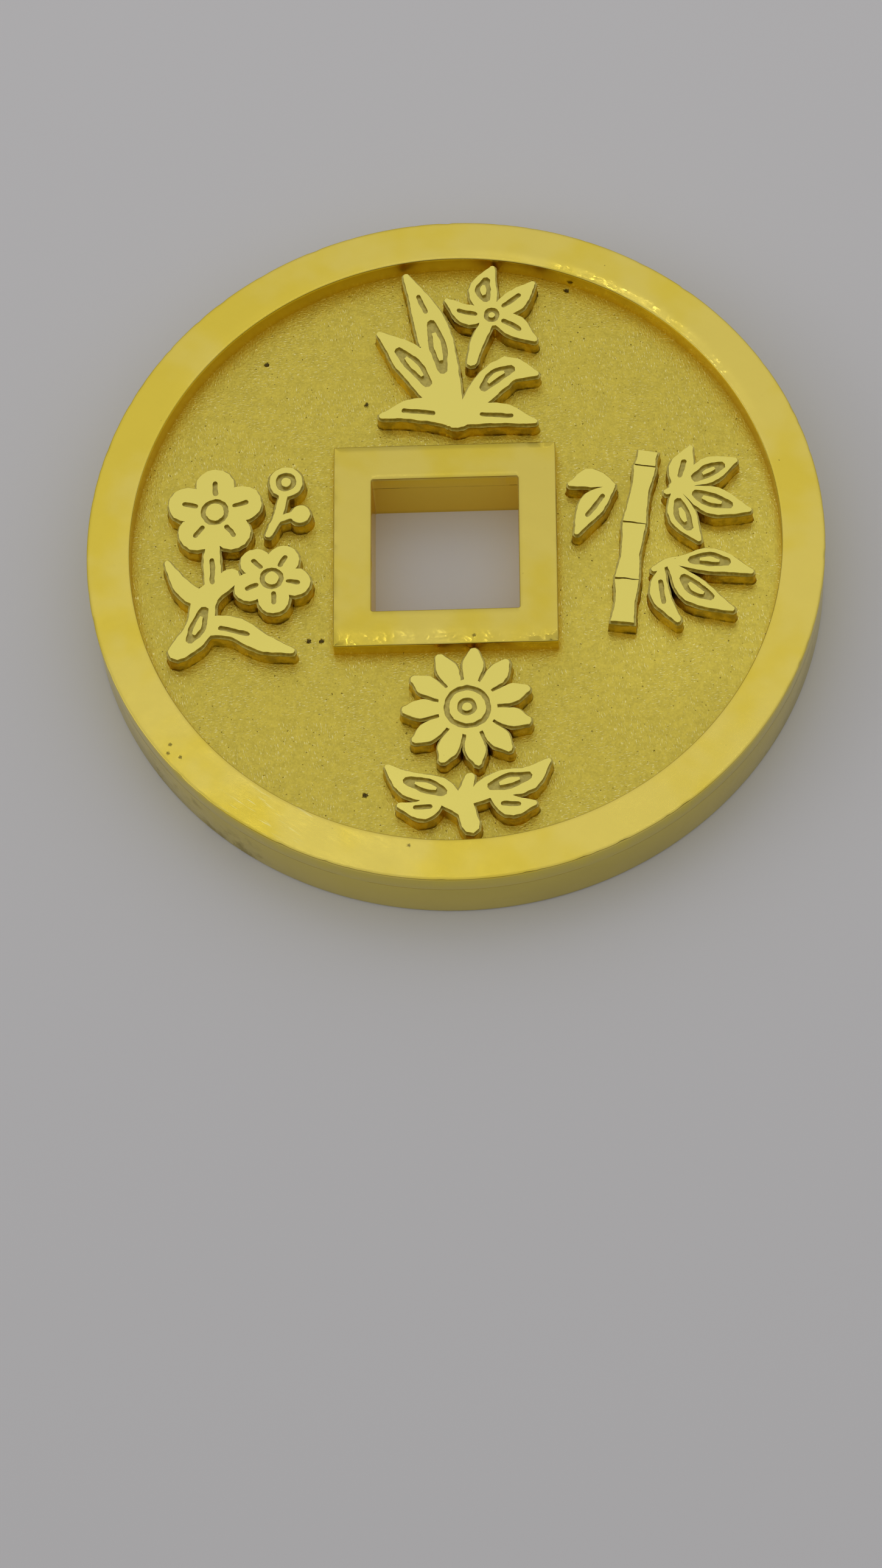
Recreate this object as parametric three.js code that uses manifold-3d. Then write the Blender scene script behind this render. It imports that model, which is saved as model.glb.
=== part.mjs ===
// A cash-coin charm of yellow gold: a round disc with a square hole, built up from flat sheet.
// A ring stands round the edge, a square frame stands round the hole, and four plant ornaments,
// sawn from the same sheet as the frame, stand on the matt field between them.
// Millimetres, +Z up. The origin is the centre of the disc's back face, and +Y is the top of the
// face, so the ornaments stand upright.

import * as THREE from "three";
import { mergeVertices } from "three/addons/utils/BufferGeometryUtils.js";
import Module from "manifold-3d";

// Disc, ring and frame.
const OUTER_RADIUS = 15;
const BASE_THICKNESS = 2.2;
const RIM_WIDTH = 1.75;
const RIM_HEIGHT = 1;
const HOLE_SIDE = 6;
const FRAME_BORDER = 1.55;
const HOLE_SHIFT = -0.4; // the hole and its frame were laid out a little left of the centre

// The sheet that the frame and the ornaments are sawn from, and the engraving on the ornaments.
const SHEET = 0.8;
const ENGRAVED_DEPTH = 0.15;
const LEDGE = 0.08; // the engraved margin that is left outside each polished form
const GROOVE = 0.1; // half-width of an engraved line
const THINNEST = 0.05; // the least half-width that is still polished

// Fineness of the round stretches.
const DISC_SIDES = 96;
const STEPS_PER_STROKE = 10;
const CAP_STEPS = 4;
const ROUND_SIDES = 16;

const YELLOW_GOLD = 0xd9b441;
const MATT_GOLD = 0xb3963a;

const wasm = await Module();
wasm.setup();

// ---------------------------------------------------------------------------------------------
// Solids

const polished = new THREE.MeshStandardMaterial({ color: YELLOW_GOLD, roughness: 0.16, metalness: 1 });
const matt = new THREE.MeshStandardMaterial({ color: MATT_GOLD, roughness: 0.55, metalness: 1 });

// A closed outline drawn up from z = 0, with an optional hole through it.
function prism(outline, height, hole) {
  const shape = new THREE.Shape(outline);
  if (hole) shape.holes.push(new THREE.Path(hole));
  return new THREE.ExtrudeGeometry(shape, { depth: height, bevelEnabled: false });
}

function solidOf(geometry) {
  const bare = geometry.clone();
  bare.deleteAttribute("normal");
  bare.deleteAttribute("uv");
  const merged = mergeVertices(bare);
  const vertProperties = merged.getAttribute("position").array;
  const triVerts = new Uint32Array(merged.index.array);
  return new wasm.Manifold(new wasm.Mesh({ numProp: 3, vertProperties, triVerts }));
}

function geometryOf(solid) {
  const { vertProperties, triVerts } = solid.getMesh();
  const indexed = new THREE.BufferGeometry();
  indexed.setAttribute("position", new THREE.BufferAttribute(vertProperties, 3));
  indexed.setIndex(new THREE.BufferAttribute(triVerts, 1));
  const geometry = indexed.toNonIndexed();
  geometry.computeVertexNormals();
  return geometry;
}

function part(name, geometry, material, x, y, z) {
  const mesh = new THREE.Mesh(geometry, material.clone());
  mesh.name = name;
  mesh.position.set(x, y, z);
  return mesh;
}

// ---------------------------------------------------------------------------------------------
// Outlines

function circle(x, y, radius, sides) {
  return Array.from({ length: sides }, (_, i) => {
    const angle = (2 * Math.PI * i) / sides;
    return new THREE.Vector2(x + radius * Math.cos(angle), y + radius * Math.sin(angle));
  });
}

function square(side) {
  const half = side / 2;
  const corners = [[-half, -half], [half, -half], [half, half], [-half, half]];
  return corners.map(([x, y]) => new THREE.Vector2(x, y));
}

// A round end of a stroke, from its right side to its left side.
function cap(end, heading, halfWidth) {
  if (halfWidth < 2 * THINNEST) return [];
  return Array.from({ length: CAP_STEPS - 1 }, (_, i) => {
    const angle = heading - Math.PI / 2 + (Math.PI * (i + 1)) / CAP_STEPS;
    return new THREE.Vector2(end.x + halfWidth * Math.cos(angle), end.y + halfWidth * Math.sin(angle));
  });
}

// Forms are functions of a trim, so that each gives both its sawn outline and, drawn in by the
// ledge, its polished top.

// A brush stroke through knots of [x, y, half-width]. Its ends are round, or square if asked.
function brush(knots, ends = "round") {
  const spine = new THREE.CatmullRomCurve3(knots.map((knot) => new THREE.Vector3(...knot)));
  return (trim) => {
    const inset = ends === "square" ? trim / spine.getLength() : 0;
    const along = (i) => inset + (1 - 2 * inset) * (i / STEPS_PER_STROKE);
    const samples = Array.from({ length: STEPS_PER_STROKE + 1 }, (_, i) => spine.getPointAt(along(i)));
    const kept = samples.filter((s) => s.z - trim > THINNEST);
    const headings = kept.map((s, i) => {
      const before = kept[Math.max(i - 1, 0)];
      const after = kept[Math.min(i + 1, kept.length - 1)];
      return Math.atan2(after.y - before.y, after.x - before.x);
    });
    const side = (turn) => kept.map((s, i) => {
      const angle = headings[i] + turn * (Math.PI / 2);
      const out = s.z - trim;
      return new THREE.Vector2(s.x + out * Math.cos(angle), s.y + out * Math.sin(angle));
    });
    if (ends === "square") return [...side(-1), ...side(1).reverse()];
    const first = kept[0];
    const last = kept[kept.length - 1];
    const lastCap = cap(last, headings[kept.length - 1], last.z - trim);
    const firstCap = cap(first, headings[0] + Math.PI, first.z - trim);
    return [...side(-1), ...lastCap, ...side(1).reverse(), ...firstCap];
  };
}

const round = (x, y, radius) => (trim) => circle(x, y, radius - trim, ROUND_SIDES);

// A point at a distance and an angle, in degrees, from a centre.
function polar(x, y, distance, degrees) {
  const angle = THREE.MathUtils.degToRad(degrees);
  return [x + distance * Math.cos(angle), y + distance * Math.sin(angle)];
}

// What the graver takes out: a line through points, a ring round a centre, or a closed loop that
// follows the outline of a stroke and leaves an island inside it.
function line(points) {
  const outline = brush(points.map(([x, y]) => [x, y, GROOVE]))(0);
  return solidOf(prism(outline, SHEET));
}

function ring(x, y, radius) {
  const [outer, inner] = [radius + GROOVE, radius - GROOVE].map((r) => circle(x, y, r, ROUND_SIDES));
  return solidOf(prism(outer, SHEET, inner));
}

function loop(knots) {
  const outline = brush(knots);
  return solidOf(prism(outline(0), SHEET, outline(2 * GROOVE)));
}

// One sawn ornament: each form stands to the ledge, its polished top stands to the full sheet,
// and the grooves are cut down to the ledge.
function ornament(forms, grooves = []) {
  const ledge = SHEET - ENGRAVED_DEPTH;
  const pieces = forms.flatMap((form) => [
    solidOf(prism(form(0), ledge)),
    solidOf(prism(form(LEDGE), SHEET)),
  ]);
  const whole = pieces.reduce((sum, piece) => sum.add(piece));
  const engraved = grooves.reduce((rest, groove) => rest.subtract(groove.translate(0, 0, ledge)), whole);
  return geometryOf(engraved);
}

// ---------------------------------------------------------------------------------------------
// Ornaments, each drawn about its own centre

// Five round petals about an eye, turned so that the first petal points along the angle given.
function plumFlower(x, y, radius, turn) {
  const angles = [0, 1, 2, 3, 4].map((i) => turn + 72 * i);
  const petals = angles.map((angle) => round(...polar(x, y, 0.58 * radius, angle), 0.44 * radius));
  const stamens = angles.map((angle) => line([
    polar(x, y, 0.42 * radius, angle),
    polar(x, y, 0.66 * radius, angle),
  ]));
  return { forms: [...petals, round(x, y, 0.42 * radius)], grooves: [...stamens, ring(x, y, 0.24 * radius)] };
}

// Long petals in a ring, each a stroke that is widest near its tip.
function petalRing(x, y, inner, outer, halfWidth, count, turn) {
  return Array.from({ length: count }, (_, i) => {
    const angle = turn + (360 * i) / count;
    return brush([
      [...polar(x, y, inner, angle), 0.6 * halfWidth],
      [...polar(x, y, inner + 0.7 * (outer - inner), angle), halfWidth],
      [...polar(x, y, outer, angle), 0.55 * halfWidth],
    ]);
  });
}

const orchidLeaves = ornament([
  brush([[-0.3, -3.3, 0.45], [-1.1, -1.7, 0.72], [-2.1, -0.3, 0.74], [-3.2, 0.8, 0.2]]),
  brush([[-0.1, -3.3, 0.45], [-0.6, -1, 0.74], [-1.15, 1.3, 0.74], [-2.1, 3.5, 0.2]]),
  brush([[0.2, -3.3, 0.45], [1.1, -1.95, 0.66], [2.1, -1.05, 0.7], [3.25, -1.3, 0.2]]),
  brush([[-0.3, -3.3, 0.4], [-1.6, -2.8, 0.6], [-3.15, -3.1, 0.2]]),
  brush([[0.3, -3.3, 0.4], [1.6, -3.1, 0.58], [3.15, -3.55, 0.2]]),
  round(0, -3.15, 0.7),
], [
  loop([[-1.25, -1.6, 0.2], [-1.75, -0.8, 0.33], [-2.4, -0.1, 0.2]]),
  loop([[-0.6, -1, 0.2], [-0.8, 0.1, 0.36], [-1.05, 1.2, 0.2]]),
  loop([[1.1, -1.9, 0.2], [1.6, -1.35, 0.32], [2.2, -1.05, 0.2]]),
  line([[-1.3, 1.8], [-1.6, 2.5]]),
  line([[-1, -3], [-2.2, -2.9]]),
  line([[1, -3.15], [2.2, -3.25]]),
]);

const orchidBloom = ornament([
  brush([[0.6, -0.65, 0.28], [0.85, 0.3, 0.36], [1.3, 1.3, 0.34]]),
  brush([[1.4, 1.6, 0.35], [1.1, 2.7, 0.68], [1.5, 3.8, 0.2]]),
  brush([[1.4, 1.6, 0.3], [0.5, 1.6, 0.56], [-0.4, 2.3, 0.2]]),
  brush([[1.4, 1.6, 0.3], [2.4, 2.2, 0.58], [3.15, 3, 0.2]]),
  brush([[1.4, 1.6, 0.3], [2.4, 1, 0.58], [3.2, 0.3, 0.2]]),
  round(1.45, 1.55, 0.6),
], [
  loop([[1.2, 2.35, 0.2], [1.1, 2.75, 0.34], [1.2, 3.15, 0.2]]),
  line([[0.75, 1.6], [0.1, 1.8]]),
  line([[1.95, 1.95], [2.6, 2.45]]),
  line([[1.95, 1.25], [2.6, 0.85]]),
  ring(1.45, 1.55, 0.24),
]);

const bambooStalk = ornament([
  brush([[-1.65, -3.9, 0.56], [-1.5, -2.9, 0.48], [-1.4, -1.85, 0.57]], "square"),
  brush([[-1.41, -1.95, 0.57], [-1.2, -0.5, 0.46], [-1.05, 0.7, 0.56]], "square"),
  brush([[-1.06, 0.6, 0.56], [-0.8, 2, 0.44], [-0.55, 3.3, 0.54]], "square"),
  brush([[-0.56, 3.2, 0.52], [-0.48, 3.6, 0.46], [-0.4, 4, 0.5]], "square"),
]);

const bambooSpray = ornament([
  brush([[0.3, 2, 0.2], [0.8, 2.2, 0.26], [1.3, 2.3, 0.25]]),
  brush([[0.6, 2.3, 0.2], [0.9, 3.1, 0.58], [1.3, 4, 0.2]]),
  brush([[0.8, 2.3, 0.2], [2.1, 3, 0.66], [3.1, 3.4, 0.2]]),
  brush([[0.8, 2.2, 0.2], [2.2, 1.55, 0.7], [3.6, 1.1, 0.2]]),
  brush([[0.6, 2.2, 0.2], [0.9, 0.95, 0.64], [1.55, -0.2, 0.2]]),
  round(0.75, 2.25, 0.42),
], [
  loop([[1.5, 2.65, 0.2], [2.05, 2.95, 0.3], [2.5, 3.15, 0.2]]),
  loop([[1.5, 1.9, 0.2], [2.1, 1.58, 0.33], [2.8, 1.35, 0.2]]),
  loop([[0.75, 1.5, 0.2], [0.9, 0.95, 0.32], [1.15, 0.4, 0.2]]),
  line([[0.85, 2.75], [1.05, 3.4]]),
]);

const bambooShoot = ornament([
  brush([[-0.3, -1.5, 0.2], [0.3, -1.2, 0.26], [0.9, -1.1, 0.25]]),
  brush([[0.5, -1.2, 0.2], [2, -1.15, 0.62], [3.6, -1.7, 0.2]]),
  brush([[0.3, -1.2, 0.2], [1.25, -2.45, 0.66], [2.8, -3.4, 0.2]]),
  brush([[0, -1.4, 0.2], [-0.1, -2.6, 0.48], [0.6, -3.8, 0.2]]),
], [
  loop([[0.9, -1.95, 0.2], [1.3, -2.4, 0.34], [1.9, -2.8, 0.2]]),
  loop([[1.3, -1.12, 0.2], [1.95, -1.12, 0.32], [2.6, -1.25, 0.2]]),
  line([[-0.05, -2.1], [0.05, -3]]),
]);

const bambooLeaf = ornament([
  brush([[-1.9, 2.3, 0.2], [-2.7, 1.6, 0.62], [-3.4, 0.3, 0.2]]),
  brush([[-1.9, 2.4, 0.2], [-2.8, 2.75, 0.52], [-3.6, 2.5, 0.2]]),
], [
  line([[-2.3, 1.9], [-2.95, 1.05]]),
]);

const chrysanthemumBloom = ornament([
  ...petalRing(0, 1.35, 0.9, 2.45, 0.5, 11, 83),
  round(0, 1.35, 1.3),
], [
  ring(0, 1.35, 0.85),
  ring(0, 1.35, 0.3),
]);

const chrysanthemumStem = ornament([
  brush([[0.1, -1.75, 0.28], [-0.15, -2.7, 0.4], [0.1, -3.8, 0.45]]),
  brush([[-0.1, -3.3, 0.3], [-1.1, -2.3, 0.62], [-2.4, -1.95, 0.6], [-3.2, -1.2, 0.2]]),
  brush([[-1, -2.5, 0.3], [-1.8, -3.1, 0.52], [-2.7, -2.9, 0.2]]),
  brush([[0, -2.7, 0.3], [1.1, -2.1, 0.62], [2.4, -1.85, 0.6], [3.2, -1.1, 0.2]]),
  brush([[0.9, -2.3, 0.3], [1.7, -3, 0.52], [2.6, -2.9, 0.2]]),
], [
  loop([[-1, -2.35, 0.2], [-1.7, -2.05, 0.33], [-2.4, -1.85, 0.2]]),
  loop([[0.95, -2.15, 0.2], [1.6, -1.95, 0.33], [2.35, -1.75, 0.2]]),
  line([[-1.5, -3], [-2.1, -3]]),
  line([[1.4, -2.9], [2, -2.95]]),
]);

const plumOpen = plumFlower(-0.9, 2.1, 2, 90);
const plumSmall = plumFlower(1.45, -1, 1.65, 60);

const plumBranch = ornament([
  brush([[-2.3, -4.2, 0.5], [-1.5, -3.3, 0.64], [-1.2, -1.8, 0.56], [-0.2, -0.9, 0.46]]),
  brush([[-0.9, -1.3, 0.44], [-1, 0, 0.42], [-0.9, 1.4, 0.3]]),
  brush([[-1.6, -3.1, 0.5], [-0.1, -3.15, 0.54], [1.1, -3.9, 0.46], [2.3, -4.3, 0.2]]),
  brush([[-1.2, -2, 0.42], [-2.1, -1.4, 0.44], [-2.8, -0.2, 0.2]]),
  ...plumOpen.forms,
  ...plumSmall.forms,
], [
  loop([[-1.8, -3.7, 0.2], [-1.5, -3.1, 0.34], [-1.3, -2.4, 0.2]]),
  line([[-0.6, -3.2], [0.5, -3.5]]),
  line([[-0.95, -1.1], [-1, -0.1]]),
  ...plumOpen.grooves,
  ...plumSmall.grooves,
]);

const plumBud = ornament([
  brush([[1.3, 1, 0.22], [1.7, 1.9, 0.28], [1.9, 2.8, 0.26]]),
  round(2, 3.4, 0.78),
  round(2.6, 1.9, 0.5),
  brush([[1.7, 1.7, 0.22], [2.4, 1.9, 0.24]]),
], [
  ring(2, 3.4, 0.32),
]);

// ---------------------------------------------------------------------------------------------
// Assembly

const FIELD_RADIUS = OUTER_RADIUS - RIM_WIDTH;

const baseOutline = circle(0, 0, OUTER_RADIUS, DISC_SIDES);
const holeInBase = square(HOLE_SIDE).map((p) => p.add(new THREE.Vector2(HOLE_SHIFT, 0)));
const base = prism(baseOutline, BASE_THICKNESS, holeInBase);
const rim = prism(baseOutline, RIM_HEIGHT, circle(0, 0, FIELD_RADIUS, DISC_SIDES));
const frame = prism(square(HOLE_SIDE + 2 * FRAME_BORDER), SHEET, square(HOLE_SIDE));

const TOP = [0.15, 9.05];
const RIGHT = [8.35, 0.05];
const BOTTOM = [0.45, -8.75];
const LEFT = [-8.9, -0.4];

const charm = new THREE.Group();
charm.add(
  part("base_disc", base, matt, 0, 0, 0),
  part("rim_ring", rim, polished, 0, 0, BASE_THICKNESS),
  part("square_frame", frame, polished, HOLE_SHIFT, 0, BASE_THICKNESS),
  part("orchid_leaves", orchidLeaves, polished, ...TOP, BASE_THICKNESS),
  part("orchid_bloom", orchidBloom, polished, ...TOP, BASE_THICKNESS),
  part("bamboo_stalk", bambooStalk, polished, ...RIGHT, BASE_THICKNESS),
  part("bamboo_spray", bambooSpray, polished, ...RIGHT, BASE_THICKNESS),
  part("bamboo_shoot", bambooShoot, polished, ...RIGHT, BASE_THICKNESS),
  part("bamboo_leaf", bambooLeaf, polished, ...RIGHT, BASE_THICKNESS),
  part("chrysanthemum_bloom", chrysanthemumBloom, polished, ...BOTTOM, BASE_THICKNESS),
  part("chrysanthemum_stem", chrysanthemumStem, polished, ...BOTTOM, BASE_THICKNESS),
  part("plum_branch", plumBranch, polished, ...LEFT, BASE_THICKNESS),
  part("plum_bud", plumBud, polished, ...LEFT, BASE_THICKNESS),
);

export default charm;
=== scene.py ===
"""A cash-coin charm of yellow gold, built up from flat sheet, on a plain pale table."""

import math

import bmesh
import bpy
from bpy.props import FloatProperty, FloatVectorProperty, IntProperty, PointerProperty
from mathutils import Matrix, Vector, noise


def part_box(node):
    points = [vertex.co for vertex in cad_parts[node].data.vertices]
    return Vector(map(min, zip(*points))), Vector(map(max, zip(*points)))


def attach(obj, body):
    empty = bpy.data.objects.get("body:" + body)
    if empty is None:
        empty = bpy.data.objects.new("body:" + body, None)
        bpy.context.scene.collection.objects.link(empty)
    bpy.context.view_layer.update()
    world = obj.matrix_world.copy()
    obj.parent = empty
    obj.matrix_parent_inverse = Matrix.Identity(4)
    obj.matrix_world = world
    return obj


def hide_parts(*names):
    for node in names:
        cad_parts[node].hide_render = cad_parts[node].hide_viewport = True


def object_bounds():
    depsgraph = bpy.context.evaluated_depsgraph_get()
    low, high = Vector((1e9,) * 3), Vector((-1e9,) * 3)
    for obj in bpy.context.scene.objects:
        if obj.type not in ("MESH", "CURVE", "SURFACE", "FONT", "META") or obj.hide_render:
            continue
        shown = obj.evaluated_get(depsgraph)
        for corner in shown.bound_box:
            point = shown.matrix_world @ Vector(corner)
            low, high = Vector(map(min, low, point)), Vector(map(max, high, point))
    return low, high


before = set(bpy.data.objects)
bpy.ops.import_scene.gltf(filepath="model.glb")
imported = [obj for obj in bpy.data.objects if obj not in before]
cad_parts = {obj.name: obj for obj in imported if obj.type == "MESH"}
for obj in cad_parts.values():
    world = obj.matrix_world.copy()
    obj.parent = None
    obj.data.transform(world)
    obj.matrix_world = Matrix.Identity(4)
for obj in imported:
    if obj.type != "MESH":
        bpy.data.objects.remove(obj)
CAD_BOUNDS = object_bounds()

bl_info = {
    "name": "Cash Coin Charm",
    "version": (1, 0, 0),
    "blender": (4, 5, 0),
    "location": "3D View > Sidebar > Charm",
    "description": "Builds the disc, rim, frame and sawn ornaments of a gold cash-coin charm",
    "category": "Object",
}

MM = 0.001
SAME = 1e-6  # metres; two places nearer than this are one
SUNK = 0.03 * MM  # how far a soldered piece reaches into the disc, so that no gap shows
ORNAMENTS = [
    "orchid_leaves", "orchid_bloom", "bamboo_stalk", "bamboo_spray", "bamboo_shoot",
    "bamboo_leaf", "chrysanthemum_bloom", "chrysanthemum_stem", "plum_branch", "plum_bud",
]


# ------------------------------------------------------------------------------------------
# The frame's sizes


def reach(node, choose):
    """The nearest or farthest distance of a node's points from the disc's axis."""
    return choose(vertex.co.xy.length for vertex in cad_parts[node].data.vertices)


def hole_box():
    """The lowest and highest corners of the square hole, seen from above."""
    near = [v.co.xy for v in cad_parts["base_disc"].data.vertices if v.co.xy.length < HALF_RADIUS]
    low = Vector((min(p.x for p in near), min(p.y for p in near)))
    high = Vector((max(p.x for p in near), max(p.y for p in near)))
    return low, high


OUTER_RADIUS = CAD_BOUNDS[1][0]
HALF_RADIUS = OUTER_RADIUS / 2
FIELD_RADIUS = reach("rim_ring", min)
FIELD_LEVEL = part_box("base_disc")[1].z
RIM_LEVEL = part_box("rim_ring")[1].z
SHEET_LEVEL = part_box("square_frame")[1].z
HOLE_LOW, HOLE_HIGH = hole_box()
HOLE_CENTRE = (HOLE_LOW + HOLE_HIGH) / 2
HOLE_HALF = (HOLE_HIGH.x - HOLE_LOW.x) / 2
FRAME_HALF = (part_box("square_frame")[1].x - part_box("square_frame")[0].x) / 2
HIGH_ENOUGH = (FIELD_LEVEL + SHEET_LEVEL) / 2


# ------------------------------------------------------------------------------------------
# Properties


def length(name, description, millimetres):
    """A size property whose default is given in millimetres."""
    return FloatProperty(name=name, description=description, default=millimetres * MM, unit="LENGTH",
                         precision=5)


def colour(name, description, default):
    """A colour property."""
    return FloatVectorProperty(name=name, description=description, default=default, size=3,
                               subtype="COLOR", min=0, max=1)


class CharmSizes(bpy.types.PropertyGroup):
    """Sizes that the metalworker's hand decides."""

    rim_outer_edge: length("Rim outer edge", "Width of the rim's polished outer edge", 0.06)
    rim_inner_edge: length("Rim inner edge", "Width of the rim's polished inner edge", 0.05)
    rim_roll: length("Rim roll", "How far the rim's inner edge is polished down at the back", 0.04)
    frame_edge: length("Frame edge", "Width of the frame's polished edge", 0.05)
    frame_roll: length("Frame roll", "How far the frame's front edge is polished down", 0.045)
    disc_edge: length("Disc edge", "Width of the disc's lower edge", 0.12)
    seam: length("Seam", "Width of the soldered seam round the edge", 0.025)
    corner: length("Corner", "Radius of the corners of the hole and the frame", 0.07)
    polish_wave: length("Polish wave", "Height of the soft waves that hand polishing leaves", 0.012)
    field_grain: length("Field grain", "Depth of the unevenness of the matt field", 0.008)
    ornament_edge: length("Ornament edge", "Width of the worn edge of the ornaments", 0.018)
    saw_step: length("Saw step", "Distance between the points of a sawn outline", 0.36)
    saw_wander: length("Saw wander", "How far the saw wandered from the drawn line", 0.03)
    saw_marks: length("Saw marks", "Depth of the fine unevenness of a sawn wall", 0.055)
    fillet: length("Fillet", "Width of the solder fillet at the foot of a wall", 0.06)
    segments: IntProperty(name="Segments", description="Steps round the disc", default=480, min=96)


class CharmColours(bpy.types.PropertyGroup):
    """Colours of the gold and the table."""

    gold: colour("Gold", "Polished high-carat gold", (0.94, 0.76, 0.15))
    # Painted reflection: patches of deeper yellow that stand for darker surroundings mirrored in the wavy
    # polish
    deep_reflection_gold: colour("Deep gold", "Patches where the polish shows a stronger yellow", (0.92, 0.72, 0.085))
    # Painted highlight: the ornaments' flat tops are painted paler than the gold, standing for the bright
    # light they mirror
    lit_top_gold: colour("Pale gold", "The lapped tops of the ornaments", (1, 0.87, 0.195))
    matt_gold: colour("Matt gold", "The brushed and blasted field", (0.95, 0.775, 0.115))
    bright_gold: colour("Bright gold", "Flecks of the field that face the light", (1, 0.88, 0.32))
    # Painted shade: groove bottoms are painted darker than the gold, standing for shade in the narrow
    # grooves; their dullness is roughness
    shaded_groove_gold: colour("Groove gold", "Dull metal at the bottom of engraved lines", (0.64, 0.53, 0.13))
    # Painted shade: walls that face the field, and the field at their foot, are painted this darker brown,
    # standing for their shade and the field's brown reflection
    shaded_wall_gold: colour("Wall gold", "Unpolished walls that face the field", (0.72, 0.5, 0.035))
    # Painted reflection: the hole's walls and the frame's walls are painted a deeper orange, standing for
    # the gold walls mirroring one another
    hole_reflection_gold: colour("Hole gold", "The walls of the square hole", (0.94, 0.66, 0.05))
    # Painted shade: the outer wall, the rim's side and the back are painted darker than the polished gold,
    # standing for the shaded table that the outer wall mirrors near its foot
    shaded_edge_gold: colour("Edge gold", "The outer wall and the back", (0.78, 0.645, 0.115))
    # Real residue in pits and specks, darker patches at the foot of the ornament walls, and painted shade
    # along the bottom of the outer wall
    grime_and_shade: colour("Grime", "Polishing residue in pits and corners", (0.1, 0.07, 0.02))
    table: colour("Table", "The pale table top", (0.85, 0.85, 0.855))


class CharmStage(bpy.types.PropertyGroup):
    """Where the camera is and how bright the studio is."""

    lens: FloatProperty(name="Lens", description="Focal length", default=105.3, unit="CAMERA")
    camera_x: length("Camera X", "Camera to the right of the disc", 6.98)
    camera_y: length("Camera Y", "Camera behind the disc", -86.09)
    camera_z: length("Camera Z", "Camera above the table", 168.29)
    pitch: FloatProperty(name="Pitch", description="How far the camera looks down",
                         default=math.radians(65.39), subtype="ANGLE")
    turn: FloatProperty(name="Turn", description="How far the camera turns to the left",
                        default=math.radians(5.76), subtype="ANGLE")
    roll: FloatProperty(name="Roll", description="How far the camera leans",
                        default=math.radians(-6.66), subtype="ANGLE")
    ceiling: FloatProperty(name="Ceiling", description="Brightness overhead", default=0.53)
    horizon: FloatProperty(name="Horizon", description="Brightness at eye level", default=0.3)
    front: FloatProperty(name="Front", description="Share of light left in front of the charm", default=0.34)


# ------------------------------------------------------------------------------------------
# Shader maths


class Value:
    """One output of a node, so that shader maths is written as an expression."""

    def __init__(self, finish, socket):
        self.finish = finish
        self.socket = socket

    def maths(self, operation, *operands):
        return self.finish.node("ShaderNodeMath", {"operation": operation}, dict(enumerate(operands)))

    def __add__(self, other):
        return self.maths("ADD", self, other)

    def __sub__(self, other):
        return self.maths("SUBTRACT", self, other)

    def __rsub__(self, other):
        return self.maths("SUBTRACT", other, self)

    def __mul__(self, other):
        return self.maths("MULTIPLY", self, other)

    def least(self, other):
        return self.maths("MINIMUM", self, other)

    def most(self, other):
        return self.maths("MAXIMUM", self, other)

    def size(self):
        return self.maths("ABSOLUTE", self)

    __radd__ = __add__
    __rmul__ = __mul__


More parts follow.
